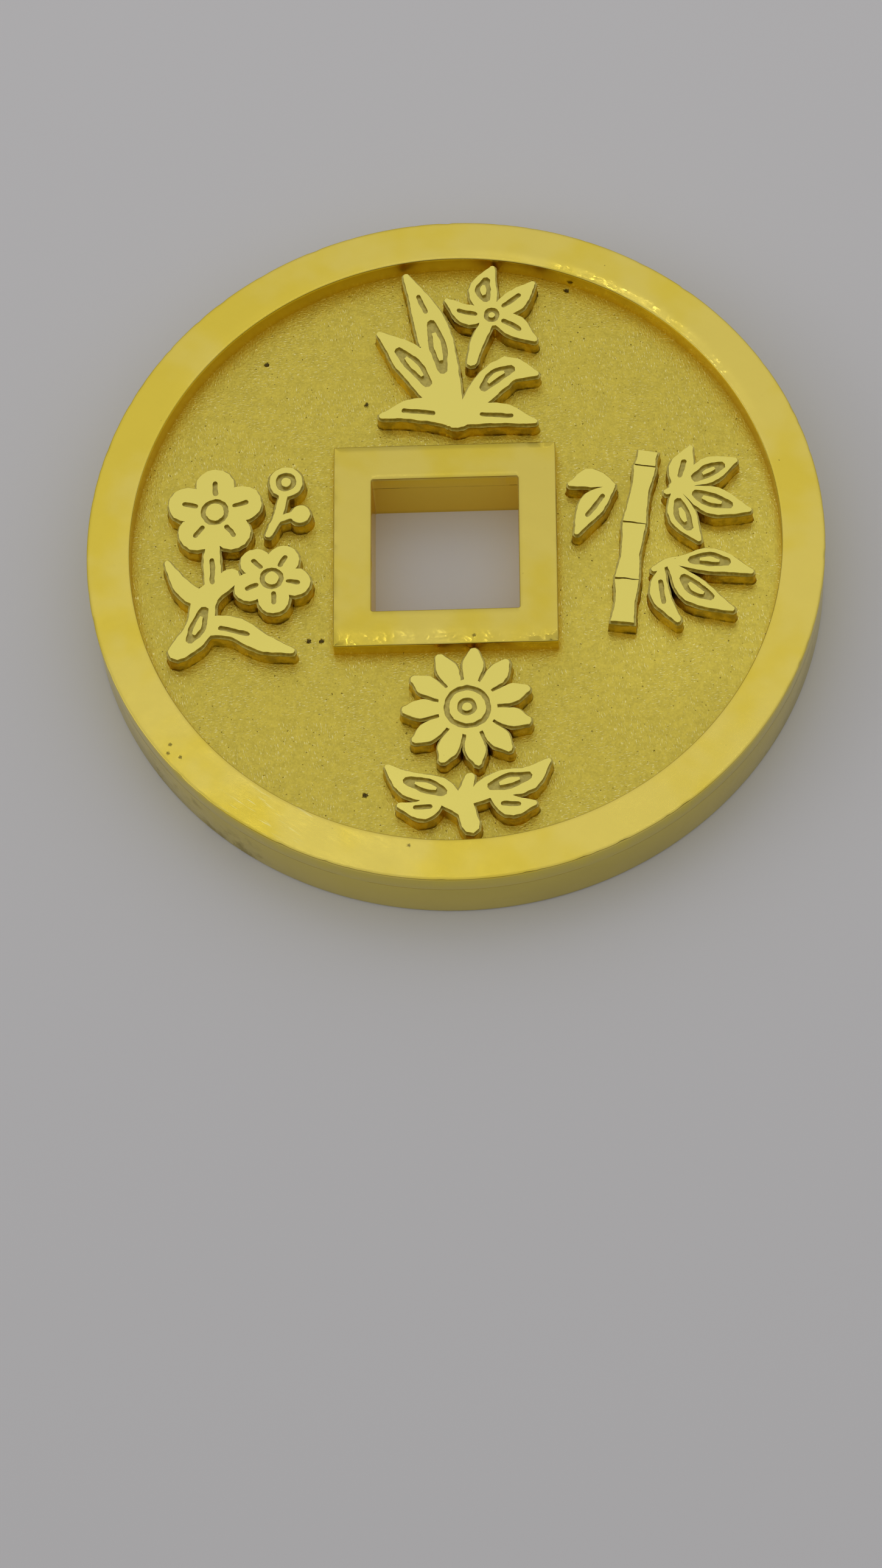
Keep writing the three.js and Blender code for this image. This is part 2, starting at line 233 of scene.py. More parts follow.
class Finish:
    """The nodes of a material or a world, and how they vary a surface."""

    def __init__(self, owner, coordinates="Object"):
        owner.use_nodes = True
        self.owner = owner
        self.tree = owner.node_tree
        self.tree.nodes.clear()
        self.place = self.node("ShaderNodeTexCoord", output=coordinates)

    def node(self, kind, settings=None, inputs=None, output=0):
        """Makes a node, sets it, then fills its sockets with values or links."""
        made = self.tree.nodes.new(kind)
        for key, value in (settings or {}).items():
            setattr(made, key, value)
        for key, value in (inputs or {}).items():
            if isinstance(value, Value):
                self.tree.links.new(value.socket, made.inputs[key])
            else:
                made.inputs[key].default_value = value
        return Value(self, made.outputs[output])

    def noise(self, size, detail=2.0, place=None):
        """Noise from 0 to 1 whose features are about size metres across."""
        inputs = {"Vector": place or self.place, "Scale": 1 / size, "Detail": detail, "Roughness": 0.55}
        return self.node("ShaderNodeTexNoise", {"noise_dimensions": "3D"}, inputs)

    def drawn_out(self, angle, along=1, up=1):
        """Coordinates turned about the disc's axis and then drawn out along X and along Z."""
        inputs = {"Vector": self.place, "Rotation": (0, 0, angle)}
        turned = self.node("ShaderNodeMapping", {"vector_type": "POINT"}, inputs)
        inputs = {"Vector": turned, "Scale": (1 / along, 1, 1 / up)}
        return self.node("ShaderNodeMapping", {"vector_type": "POINT"}, inputs)

    def ragged(self, size, depth):
        """Coordinates that noise pushes about, so that shapes drawn with them are uneven."""
        colour = self.node("ShaderNodeTexNoise", None, {"Vector": self.place, "Scale": 1 / size}, output=1)
        inputs = {0: colour, 1: (0.5, 0.5, 0.5)}
        push = self.node("ShaderNodeVectorMath", {"operation": "SUBTRACT"}, inputs)
        inputs = {0: push, 1: (depth, depth, depth), 2: self.place}
        return self.node("ShaderNodeVectorMath", {"operation": "MULTIPLY_ADD"}, inputs)

    def step(self, value, low, high):
        """0 below low, 1 above high, and smooth between. It falls if low is above high."""
        settings = {"interpolation_type": "SMOOTHSTEP", "clamp": True}
        inputs = {"Value": value, "From Min": low, "From Max": high}
        return self.node("ShaderNodeMapRange", settings, inputs)

    def mix(self, share, first, second):
        """A colour between two colours."""
        inputs = {"Factor": share, 6: (*first, 1) if isinstance(first, tuple) else first,
                  7: (*second, 1) if isinstance(second, tuple) else second}
        return self.node("ShaderNodeMix", {"data_type": "RGBA"}, inputs, output=2)

    def axis(self, letter):
        """One of the object coordinates, in metres."""
        return self.node("ShaderNodeSeparateXYZ", None, {0: self.place}, output=letter)

    def radius(self):
        """Distance from the disc's axis, in metres."""
        flat = self.node("ShaderNodeVectorMath", {"operation": "MULTIPLY"}, {0: self.place, 1: (1, 1, 0)})
        return self.node("ShaderNodeVectorMath", {"operation": "LENGTH"}, {0: flat}, output="Value")

    def square_radius(self):
        """Half the side of the square, centred on the hole, that reaches a place."""
        across = (self.axis("X") - HOLE_CENTRE.x).size()
        return across.most((self.axis("Y") - HOLE_CENTRE.y).size())

    def near(self, points, size):
        """1 at each point, given in millimetres, and 0 from size metres away."""
        nearest = None
        ragged = self.ragged(0.7 * size, 1.5 * size)
        for point in points:
            inputs = {0: ragged, 1: Vector(point) * MM}
            away = self.node("ShaderNodeVectorMath", {"operation": "DISTANCE"}, inputs, output="Value")
            nearest = nearest.least(away) if nearest else away
        return self.step(nearest, size, 0.4 * size)

    def bump(self, height, depth):
        """A normal from a height between 0 and 1 that stands for depth metres."""
        inputs = {"Height": height, "Distance": depth, "Strength": 1.0}
        return self.node("ShaderNodeBump", None, inputs)

    def metal(self, colour, roughness, normal=None, metallic=1.0):
        """Ends the material in a metal surface."""
        inputs = {"Base Color": colour, "Metallic": metallic, "Roughness": roughness}
        if normal:
            inputs["Normal"] = normal
        surface = self.node("ShaderNodeBsdfPrincipled", None, inputs)
        self.end("ShaderNodeOutputMaterial", surface)
        return self.owner

    def end(self, kind, surface):
        """Joins the last node to the output."""
        self.tree.links.new(surface.socket, self.tree.nodes.new(kind).inputs["Surface"])


# ------------------------------------------------------------------------------------------
# Finishes


def polished_gold(colours, name, level, tone, low_colour, inside, rubbed):
    """Hand-polished gold: soft clouds of stronger yellow, fine scratches and a few pits.

    The clouds are a painted reflection of darker surroundings in the wavy polish, painted more often on
    the left, and a patch of brush strokes at the front left is painted brighter as a painted highlight.
    Tone darkens the top. Walls below the level have the low colour, a painted shade on the rim and a
    painted reflection on the frame. Inside and rubbed are functions of the finish: one makes 1 where a
    wall faces the field, which gets painted shade, the other where an edge is rubbed bright.
    """
    gold = Finish(bpy.data.materials.new(name))
    # Painted reflection: clouds of deeper yellow stand for darker surroundings mirrored in the wavy polish,
    # painted more often on the left
    left_reflection_lean = 0.12 * gold.step(gold.axis("X"), 8 * MM, -12 * MM)
    clouds = gold.step(gold.noise(4 * MM, 3) + left_reflection_lean, 0.48, 0.7)
    colour = gold.mix(clouds, tuple(tone * c for c in colours.gold),
                      tuple(tone * c for c in colours.deep_reflection_gold))
    # Painted shade and reflection: walls below the top take the low colour, and walls that face the field
    # take the painted wall shade
    low = gold.step(gold.axis("Z"), level - 0.1 * MM, level - 0.2 * MM)
    wall = low * inside(gold)
    colour = gold.mix(low, colour, low_colour)
    colour = gold.mix(wall, colour, tuple(colours.shaded_wall_gold))
    smears = gold.noise(1.4 * MM, 4)
    scratches = gold.noise(0.09 * MM, 2, gold.drawn_out(0.6, 14))
    bright = rubbed(gold) * gold.step(gold.noise(0.6 * MM, 2), 0.42, 0.66)
    # Painted highlight: a patch of brush strokes at the front left of the rim is painted brighter, standing
    # for the light they catch
    strokes = gold.near([(-7.4, -11.9, 3.2)], 2.6 * MM) * gold.step(scratches, 0.6, 0.7)
    colour = gold.mix(0.7 * strokes, colour, tuple(colours.bright_gold))
    roughness = (0.13 + 0.12 * smears + 0.05 * scratches + 0.1 * wall) * (1 - 0.6 * bright)
    specks = gold.step(gold.noise(0.2 * MM, 1), 0.8, 0.84)
    pits = specks.most(gold.near([(-1.9, -13.47, 3.2), (-11.41, -8.83, 3.2), (-10.99, -9.4, 3.2),
                                  (-11.5, -9.2, 3.2), (0.74, -4.2, 3.0)], 0.1 * MM))
    height = 0.5 * gold.noise(0.7 * MM, 3) + 0.1 * scratches + 0.4 * bright - 0.5 * pits
    return gold.metal(gold.mix(0.7 * pits, colour, tuple(colours.grime_and_shade)), roughness,
                      gold.bump(height, 0.01 * MM))


def matt_gold(colours):
    """The field: blasted gold with short strokes of a wire brush, whose bright flecks are painted glints,
    dark casting pits, and painted shade at the foot of the rim and the frame.
    """
    gold = Finish(bpy.data.materials.new("matt_gold"))
    grain = gold.noise(0.11 * MM, 3)
    strokes_up = gold.noise(0.05 * MM, 1, gold.drawn_out(1.35, 3.5))
    strokes_across = gold.noise(0.05 * MM, 1, gold.drawn_out(-0.15, 3))
    patches = gold.step(gold.noise(2.6 * MM, 1), 0.44, 0.56)
    strokes = strokes_up * patches + strokes_across * (1 - patches)
    flecks = gold.step(strokes, 0.59, 0.72)
    specks = gold.step(gold.noise(0.13 * MM, 1), 0.27, 0.2)
    pits = gold.near([(-7.82, 8.99, 2.2), (-3.66, 6.92, 2.2), (-5.99, -3.91, 2.2), (-5.45, -3.92, 2.2),
                      (4.71, 12.12, 2.2), (-3.67, -10.81, 2.2)], 0.13 * MM)
    # Painted shade: the field is painted darker towards the foot of the rim and of the frame, where they
    # shade it
    foot = gold.step(gold.radius(), FIELD_RADIUS - 0.3 * MM, FIELD_RADIUS)
    foot = foot.most(gold.step(gold.square_radius(), FRAME_HALF + 0.25 * MM, FRAME_HALF))
    dirt = (0.5 * specks).most(pits)
    blotches = gold.step(gold.noise(0.3 * MM, 2), 0.3, 0.7)
    tone = 0.5 * gold.step(grain, 0.35, 0.65) + 0.5 * blotches
    colour = gold.mix(tone, tuple(0.78 * c for c in colours.matt_gold), tuple(colours.matt_gold))
    colour = gold.mix(0.6 * foot, colour, tuple(colours.shaded_wall_gold))
    # Painted highlight: flecks of the brush strokes are painted bright, standing for glints
    colour = gold.mix(flecks, colour, tuple(colours.bright_gold))
    worn = 0.8 * gold.near([(12.5, -1.5, 2.2)], 9 * MM)
    height = (0.5 * strokes + 0.6 * grain) * (1 - 0.5 * worn) - 1.5 * dirt
    roughness = 0.38 - 0.2 * flecks - 0.1 * worn
    return gold.metal(gold.mix(dirt, colour, tuple(colours.grime_and_shade)), roughness,
                      gold.bump(height, 0.028 * MM))


def shaded_edge_gold(colours):
    """The disc's outer wall, hole walls and back: polished, with faint lines and a little residue, painted
    darker as painted shade, most along the bottom, with a painted reflection on the hole walls.
    """
    gold = Finish(bpy.data.materials.new("shaded_edge_gold"))
    clouds = gold.step(gold.noise(6 * MM, 3), 0.4, 0.7)
    colour = gold.mix(clouds, tuple(colours.shaded_edge_gold), tuple(0.92 * c for c in colours.shaded_edge_gold))
    # Painted reflection: the hole walls take a deeper orange
    hole = gold.step(gold.square_radius(), HOLE_HALF + 0.1 * MM, HOLE_HALF + 0.05 * MM)
    colour = gold.mix(hole, colour, tuple(colours.hole_reflection_gold))
    # Painted shade: the lowest part of the outer wall is painted darker, standing for the shadow where it
    # meets the table; the smudges are stains
    low = gold.step(gold.axis("Z"), 0.28 * MM, 0.0)
    smudges = gold.step(gold.noise(0.9 * MM, 4), 0.45, 0.7)
    smudges = smudges * gold.near([(-11.6, -9.5, 0.9), (-10.2, -11, 0.6), (-9, -12, 0.5)], 1.8 * MM)
    lines = gold.noise(0.35 * MM, 3)
    colour = gold.mix(0.45 * (0.4 * low).most(smudges), colour, tuple(colours.grime_and_shade))
    return gold.metal(colour, 0.16 + 0.12 * lines + 0.15 * smudges, gold.bump(lines, 0.006 * MM))


def lapped_gold(colours):
    """The ornaments: flat mirror tops painted paler as a painted highlight, engraved lines of duller metal
    and sawn walls, both painted darker as painted shade.
    """
    gold = Finish(bpy.data.materials.new("lapped_gold"))
    height_up = gold.axis("Z")
    top = gold.step(height_up, SHEET_LEVEL - 0.012 * MM, SHEET_LEVEL - 0.008 * MM)
    wall = gold.step(height_up, SHEET_LEVEL - 0.18 * MM, SHEET_LEVEL - 0.22 * MM)
    saw = gold.noise(0.07 * MM, 2, gold.drawn_out(0, 1, 5))
    tooling = gold.noise(0.16 * MM, 3)
    # Painted shade: the groove bottoms are painted darker, varying with the tool marks
    dull_and_shaded = gold.mix(gold.step(tooling, 0.35, 0.65), tuple(0.8 * c for c in colours.shaded_groove_gold),
                    tuple(colours.shaded_groove_gold))
    stain = gold.step(gold.noise(0.5 * MM, 3), 0.4, 0.65)
    # Painted shade: the sawn walls are painted a darker brown, standing for shade and the field's
    # reflection; the darker blotches are stains
    sawn = gold.mix(stain, tuple(colours.shaded_wall_gold), tuple(0.62 * c for c in colours.shaded_wall_gold))
    # The sawn walls darken in patches towards their foot, where they meet the field
    foot = gold.step(height_up, FIELD_LEVEL + 0.16 * MM, FIELD_LEVEL + 0.01 * MM) * stain
    sawn = gold.mix(0.75 * foot, sawn, tuple(colours.grime_and_shade))
    # Painted highlight on the tops, painted shade in the grooves and on the walls
    colour = gold.mix(top, gold.mix(wall, dull_and_shaded, sawn), tuple(colours.lit_top_gold))
    specks = gold.step(gold.noise(0.15 * MM, 1), 0.8, 0.85)
    smears = gold.noise(1.2 * MM, 3)
    roughness = (0.09 + 0.05 * smears) * top + (0.28 + 0.12 * saw) * (1 - top)
    relief = (saw * wall + tooling * 0.6) * (1 - top) + 0.04 * gold.noise(1.5 * MM, 1) * top
    return gold.metal(gold.mix(0.6 * specks, colour, tuple(colours.grime_and_shade)), roughness,
                      gold.bump(relief, 0.02 * MM))


def pale_table(colours):
    """A plain pale table top with a soft sheen, painted darker towards the front as painted shade."""
    table = Finish(bpy.data.materials.new("pale_table"))
    # Painted shade: the table is painted darker towards the front, standing for the light falling off there
    away = table.step(table.axis("Y"), -0.07, 0.05)
    colour = table.mix(away, tuple(0.88 * c for c in colours.table), tuple(colours.table))
    return table.metal(colour, 0.42, metallic=0.0)


# ------------------------------------------------------------------------------------------
# Mesh helpers


def smooth(value, low, high):
    """0 at low, 1 at high, and smooth between."""
    share = min(max((value - low) / (high - low), 0), 1)
    return share * share * (3 - 2 * share)


def wander(place, size, seed=0.0):
    """Noise from -1 to 1 at a place, with features about size metres across."""
    return noise.noise(Vector(place) / size + Vector((seed, 2 * seed, 0)))


def along_ring(edge):
    """Whether an edge runs round the axis at one level."""
    first, second = (vertex.co for vertex in edge.verts)
    return abs(first.z - second.z) < SAME and abs(first.xy.length - second.xy.length) < SAME


def circle_loop(bm, radius, level, segments):
    """The edges of a circle about the axis."""
    place = Matrix.Translation((0, 0, level))
    made = bmesh.ops.create_circle(bm, segments=segments, radius=radius, matrix=place)
    return list({edge for vertex in made["verts"] for edge in vertex.link_edges})


def square_loop(bm, half, corner, level, segments):
    """The edges of a square about the hole's centre, with rounded corners if there is a corner."""
    place = Matrix.Translation((*HOLE_CENTRE, level)) @ Matrix.Rotation(math.radians(45), 4, "Z")
    made = bmesh.ops.create_circle(bm, cap_ends=True, segments=4, radius=half * math.sqrt(2), matrix=place)
    vertices, steps = made["verts"], 4
    if corner:
        vertices = bmesh.ops.bevel(bm, geom=vertices, offset=corner, affect="VERTICES", segments=steps,
                                   profile=0.5, material=-1)["verts"]
    face = vertices[0].link_faces[0]
    edges = list(face.edges)
    bmesh.ops.delete(bm, geom=[face], context="FACES_ONLY")
    if not corner:
        return edges
    straight = [edge for edge in edges if edge.calc_length() > half]
    cut = bmesh.ops.subdivide_edges(bm, edges=straight, cuts=segments // 4 - steps - 1)
    new_edges = [item for item in cut["geom_inner"] + cut["geom"] if isinstance(item, bmesh.types.BMEdge)]
    return list({edge for edge in edges + new_edges if edge.is_valid})


def bridge(bm, first, second):
    """Faces between two loops of edges, which are held apart while they are joined."""
    lifted = {vertex for edge in second for vertex in edge.verts}
    for vertex in lifted:
        vertex.co.z += OUTER_RADIUS
    made = bmesh.ops.bridge_loops(bm, edges=first + second)
    for vertex in lifted:
        vertex.co.z -= OUTER_RADIUS
    return made


def finish_piece(bm, name, node, materials):
    """Turns a bmesh into an object that stands for a CAD node."""
    mesh = bpy.data.meshes.new(name)
    bm.to_mesh(mesh)
    bm.free()
    for material in materials:
        mesh.materials.append(material)
    piece = bpy.data.objects.new(name, mesh)
    bpy.context.scene.collection.objects.link(piece)
    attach(piece, "root")
    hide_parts(node)
    return piece


def flatten_shading(piece):
    """Shades the large faces flat and leaves the bending to the narrow ones between them."""
    weighted = piece.modifiers.new("flat_shading", "WEIGHTED_NORMAL")
    weighted.mode = "FACE_AREA"
    weighted.weight = 70
    weighted.keep_sharp = True


def shade_by_angle(bm, degrees):
    """Smooth faces, with sharp edges where the surface turns by more than an angle."""
    limit = math.radians(degrees)
    for face in bm.faces:
        face.smooth = True
    for edge in bm.edges:
        edge.smooth = edge.calc_face_angle(0) < limit


# ------------------------------------------------------------------------------------------
# Pieces


def build_disc(sizes, materials):
    """The disc with its square hole: a matt field on top, and polished elsewhere."""
    bm = bmesh.new()
    count = sizes.segments
    tuck = 0.25 * MM
    hole_bottom = square_loop(bm, HOLE_HALF, sizes.corner, 0, count)
    hole_top = square_loop(bm, HOLE_HALF, sizes.corner, FIELD_LEVEL, count)
    under_frame = square_loop(bm, FRAME_HALF - tuck, sizes.corner, FIELD_LEVEL, count)
    under_rim = circle_loop(bm, FIELD_RADIUS + tuck, FIELD_LEVEL, count)
    edge_top = circle_loop(bm, OUTER_RADIUS, FIELD_LEVEL, count)
    edge_bottom = circle_loop(bm, OUTER_RADIUS, 0, count)
    bridge(bm, hole_bottom, hole_top)
    bridge(bm, hole_top, under_frame)
    field = bridge(bm, under_frame, under_rim)
    bridge(bm, under_rim, edge_top)
    bridge(bm, edge_top, edge_bottom)
    bridge(bm, edge_bottom, hole_bottom)
    for face in field["faces"]:
        face.material_index = 1
    across = list(field["edges"])
    bmesh.ops.subdivide_edges(bm, edges=across, cuts=70, use_grid_fill=True)
    rounded = [edge for edge in bm.edges if along_ring(edge) and edge.verts[0].co.z < SAME
               and edge.verts[0].co.xy.length > FIELD_RADIUS]
    bmesh.ops.bevel(bm, geom=rounded, offset=sizes.disc_edge, affect="EDGES", segments=4, profile=0.5,
                    material=-1)
    bmesh.ops.recalc_face_normals(bm, faces=bm.faces)
    inside_frame = FRAME_HALF - 0.5 * tuck
    for vertex in bm.verts:
        place = vertex.co
        out = place.xy - HOLE_CENTRE
        if place.z < FIELD_LEVEL - SAME or max(abs(out.x), abs(out.y)) < inside_frame:
            continue
        if place.xy.length < FIELD_RADIUS:
            uneven = 0.5 * wander(place, 0.35 * MM) + 0.5 * wander(place, 3 * MM, 5)
            place.z -= sizes.field_grain * (0.6 + 0.6 * uneven)
        elif place.xy.length > OUTER_RADIUS - SAME:
            open_seam = smooth(wander(place, 1.6 * MM, 3), 0.25, 0.5)
            place.xy *= 1 - open_seam * sizes.seam / OUTER_RADIUS
    shade_by_angle(bm, 35)
    piece = finish_piece(bm, "brushed_disc", "base_disc", materials)
    flatten_shading(piece)


def build_rim(sizes, materials):
    """The ring round the edge, with soft polished waves and rolled edges."""
    bm = bmesh.new()
    low, high = FIELD_LEVEL, RIM_LEVEL - 1.5 * sizes.polish_wave
    profile = [(FIELD_RADIUS, low), (OUTER_RADIUS, low), (OUTER_RADIUS, high), (FIELD_RADIUS, high)]
    corners = [bm.verts.new((radius, 0, level)) for radius, level in profile]
    sides = [bm.edges.new((corners[i - 1], corners[i])) for i in range(len(corners))]
    bmesh.ops.spin(bm, geom=corners + sides, cent=(0, 0, 0), axis=(0, 0, 1), angle=2 * math.pi,
                   steps=sizes.segments, use_merge=True)
    bmesh.ops.remove_doubles(bm, verts=bm.verts, dist=0.001 * MM)
    for radius, level, width in ((OUTER_RADIUS, high, sizes.rim_outer_edge),
                                 (FIELD_RADIUS, high, sizes.rim_inner_edge),
                                 (OUTER_RADIUS, low, sizes.seam)):
        ring = [edge for edge in bm.edges if along_ring(edge) and abs(edge.verts[0].co.z - level) < SAME
                and abs(edge.verts[0].co.xy.length - radius) < SAME]
        bmesh.ops.bevel(bm, geom=ring, offset=width, affect="EDGES", segments=4, profile=0.5,
                        material=-1)
    across = [edge for edge in bm.edges if not along_ring(edge)
              and all(abs(vertex.co.z - high) < SAME for vertex in edge.verts)]
    bmesh.ops.subdivide_edges(bm, edges=across, cuts=18, use_grid_fill=True)
    bmesh.ops.recalc_face_normals(bm, faces=bm.faces)
    for vertex in bm.verts:
        place = vertex.co
        lip = smooth(place.z, high - 2 * sizes.rim_outer_edge, high) * smooth(
            place.xy.length, OUTER_RADIUS - 2 * sizes.rim_outer_edge, OUTER_RADIUS)
        nick = smooth(wander(place, 0.45 * MM, 21), 0.1, 0.6)
        place.xy *= 1 - 0.04 * MM * lip * nick / OUTER_RADIUS
    for vertex in bm.verts:
        place = vertex.co
        if place.z < high - 3 * sizes.rim_outer_edge:
            continue
        angle = math.atan2(place.y, place.x)
        wave = 0.7 * wander(place, 4 * MM) + 0.3 * wander(place, 1.2 * MM, 7)
        inward = smooth(place.xy.length, FIELD_RADIUS + 0.5 * MM, FIELD_RADIUS)
        rolled = smooth(math.cos(angle - math.radians(55)), 0.75, 0.98)
        rolled = max(rolled, 0.25 * smooth(math.cos(angle - math.radians(125)), 0.8, 0.98))
        rolled *= 0.8 + 0.6 * wander(place, 1.6 * MM, 13)
        place.z += sizes.polish_wave * wave - sizes.rim_roll * inward * rolled
        place.z = min(place.z, RIM_LEVEL)
    shade_by_angle(bm, 40)
    piece = finish_piece(bm, "polished_rim", "rim_ring", materials)
    flatten_shading(piece)


def build_frame(sizes, materials):
    """The square frame round the hole, rounded a little more along its front edge."""
    bm = bmesh.new()
    low, high = FIELD_LEVEL - SUNK, SHEET_LEVEL - sizes.polish_wave
    outer = [square_loop(bm, FRAME_HALF, 0, level, 4) for level in (low, high)]
    inner = [square_loop(bm, HOLE_HALF, 0, level, 4) for level in (low, high)]
    bridge(bm, *outer)
    bridge(bm, *inner)
    bridge(bm, outer[0], inner[0])
    bridge(bm, outer[1], inner[1])
    bmesh.ops.recalc_face_normals(bm, faces=bm.faces)
    upright = [edge for edge in bm.edges if abs(edge.verts[0].co.z - edge.verts[1].co.z) > 0.1 * MM]
    bmesh.ops.bevel(bm, geom=upright, offset=sizes.corner, affect="EDGES", segments=4, profile=0.5,
                    material=-1)
    rounded = [edge for edge in bm.edges if edge.calc_face_angle(0) > math.radians(60)
               and all(vertex.co.z > high - SAME for vertex in edge.verts)]
    bmesh.ops.bevel(bm, geom=rounded, offset=sizes.frame_edge, affect="EDGES", segments=3, profile=0.5,
                    material=-1)
    step = 0.25 * MM
    for normal in (Vector((1, 0, 0)), Vector((0, 1, 0))):
        for i in range(-18, 19):
            everything = list(bm.verts) + list(bm.edges) + list(bm.faces)
            bmesh.ops.bisect_plane(bm, geom=everything, plane_co=HOLE_CENTRE.to_3d() + i * step * normal,
                                   plane_no=normal)
    for vertex in bm.verts:
        place = vertex.co
        if place.z < high - 1.5 * sizes.frame_edge:
            continue
        wave = 0.6 * wander(place, 2.6 * MM, 2) + 0.4 * wander(place, 0.9 * MM, 9)
        front = smooth(place.y, -FRAME_HALF + 0.7 * MM, -FRAME_HALF)
        uneven = 0.6 + 0.6 * wander(place, 0.8 * MM, 4)
        place.z = min(place.z + sizes.polish_wave * wave - sizes.frame_roll * front * uneven, SHEET_LEVEL)
    shade_by_angle(bm, 40)
    piece = finish_piece(bm, "polished_frame", "square_frame", materials)
    flatten_shading(piece)


def is_level(edge):
    """Whether both ends of an edge are at one height."""
    return abs(edge.verts[0].co.z - edge.verts[1].co.z) < 0.01 * MM


def cut_grid(bm, step):
    """Cuts every face along planes that stand a step apart in X and in Y."""
    for normal in (Vector((1, 0, 0)), Vector((0, 1, 0))):
        reaches = [normal.dot(vertex.co) for vertex in bm.verts]
        for i in range(math.ceil(min(reaches) / step), math.ceil(max(reaches) / step)):
            everything = list(bm.verts) + list(bm.edges) + list(bm.faces)
            bmesh.ops.bisect_plane(bm, geom=everything, dist=0.0005 * MM, plane_co=i * step * normal,
                                   plane_no=normal)


def saw_marks(piece, letter, size, depth):
    """Shakes a piece's outline along one axis by noise with features about size metres across."""
    marks = bpy.data.textures.new("saw_marks", "CLOUDS")
    marks.noise_scale = size
    marks.noise_depth = 1
    shaken = piece.modifiers.new("saw_marks_" + letter.lower(), "DISPLACE")
    shaken.texture = marks
    shaken.texture_coords = "LOCAL"
    shaken.direction = letter
    shaken.mid_level = 0.5
    shaken.strength = depth


def build_ornament(node, sizes, materials):
    """A sawn ornament: the CAD outline, rounded, with worn edges and a solder fillet."""
    bm = bmesh.new()
    bm.from_mesh(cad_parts[node].data)
    bmesh.ops.remove_doubles(bm, verts=bm.verts, dist=0.006 * MM)
    bmesh.ops.dissolve_degenerate(bm, edges=bm.edges, dist=0.004 * MM)
    bmesh.ops.dissolve_limit(bm, angle_limit=math.radians(2), verts=bm.verts, edges=bm.edges,
                             use_dissolve_boundaries=False)
    worn = [edge for edge in bm.edges if edge.is_convex and edge.calc_face_angle(0) > math.radians(35)
            and edge.verts[0].co.z > HIGH_ENOUGH and edge.verts[1].co.z > HIGH_ENOUGH]
    bmesh.ops.bevel(bm, geom=worn, offset=sizes.ornament_edge, affect="EDGES", segments=1, profile=0.5,
                    material=-1, clamp_overlap=True)
    bmesh.ops.triangulate(bm, faces=bm.faces, quad_method="BEAUTY", ngon_method="BEAUTY")
    bmesh.ops.join_triangles(bm, faces=bm.faces, angle_face_threshold=math.radians(1),
                             angle_shape_threshold=math.radians(70))
    cut_grid(bm, sizes.saw_step)
    foot = FIELD_LEVEL + 1.5 * sizes.fillet
    everything = list(bm.verts) + list(bm.edges) + list(bm.faces)
    bmesh.ops.bisect_plane(bm, geom=everything, plane_co=(0, 0, foot), plane_no=(0, 0, 1))
    bm.normal_update()
    moves = {}
    for vertex in bm.verts:
        flat = vertex.co.xy.to_3d()
        move = Vector([wander(flat, 0.8 * MM, seed) + 0.5 * wander(flat, 0.4 * MM, seed + 4)
                       for seed in (11, 17)] + [0])
        if vertex.co.z > SHEET_LEVEL - 1.5 * sizes.ornament_edge:
            move += 0.6 * Vector((wander(flat, 0.5 * MM, 31), wander(flat, 0.5 * MM, 37), 0))
        moves[vertex] = sizes.saw_wander * move
        if vertex.co.z < FIELD_LEVEL + SAME:
            walls = [face.normal for face in vertex.link_faces if abs(face.normal.z) < 0.5]
            outward = sum(walls, Vector())
            if outward.length > SAME:
                moves[vertex] += sizes.fillet * outward.normalized()
            moves[vertex].z = -SUNK
    for vertex, move in moves.items():
        vertex.co += move
    crease = bm.edges.layers.float.new("crease_edge")
    for edge in bm.edges:
        if edge.calc_face_angle(0) > math.radians(15 if is_level(edge) else 60):
            edge[crease] = 1.0
            edge.smooth = False
    for face in bm.faces:
        face.smooth = True
    piece = finish_piece(bm, "gold_" + node, node, materials)
    rounder = piece.modifiers.new("outline", "SUBSURF")
    rounder.levels = 2
    rounder.render_levels = 2
    saw_marks(piece, "X", 0.28 * MM, sizes.saw_marks)
    saw_marks(piece, "Y", 0.33 * MM, sizes.saw_marks)


# ------------------------------------------------------------------------------------------
# Stage


def aim(location, target):
    """A matrix that stands at a location and looks at a target."""
    way = Vector(target) - Vector(location)
    return Matrix.Translation(location) @ way.to_track_quat("-Z", "Y").to_matrix().to_4x4()


def panel(name, azimuth, elevation, distance, width, height, radiance):
    """A soft rectangular light whose direction is counted from the far side, clockwise."""
    light = bpy.data.lights.new(name, "AREA")
    light.shape = "RECTANGLE"
    light.size = width
    light.size_y = height
    light.energy = math.pi * width * height * radiance
    lamp = bpy.data.objects.new(name, light)
    bpy.context.scene.collection.objects.link(lamp)
    flat = distance * math.cos(math.radians(elevation))
    place = (flat * math.sin(math.radians(azimuth)), flat * math.cos(math.radians(azimuth)),
             distance * math.sin(math.radians(elevation)))
    lamp.matrix_world = aim(place, (0, 0, 0))


def build_world(stage):
    """A studio that is brighter overhead than at eye level, and darker on the near side."""
    sky = Finish(bpy.data.worlds.new("studio"), "Generated")
    up = sky.step(sky.axis("Z"), -0.1, 0.95)
    near = sky.step(sky.axis("Y"), -0.1, -0.7) * sky.step(sky.axis("Z"), 0.8, 0.3)
    strength = (stage.horizon + (stage.ceiling - stage.horizon) * up) * (1 - (1 - stage.front) * near)
    inputs = {"Color": (1.0, 0.98, 0.99, 1), "Strength": strength}
    sky.end("ShaderNodeOutputWorld", sky.node("ShaderNodeBackground", None, inputs))
    bpy.context.scene.world = sky.owner


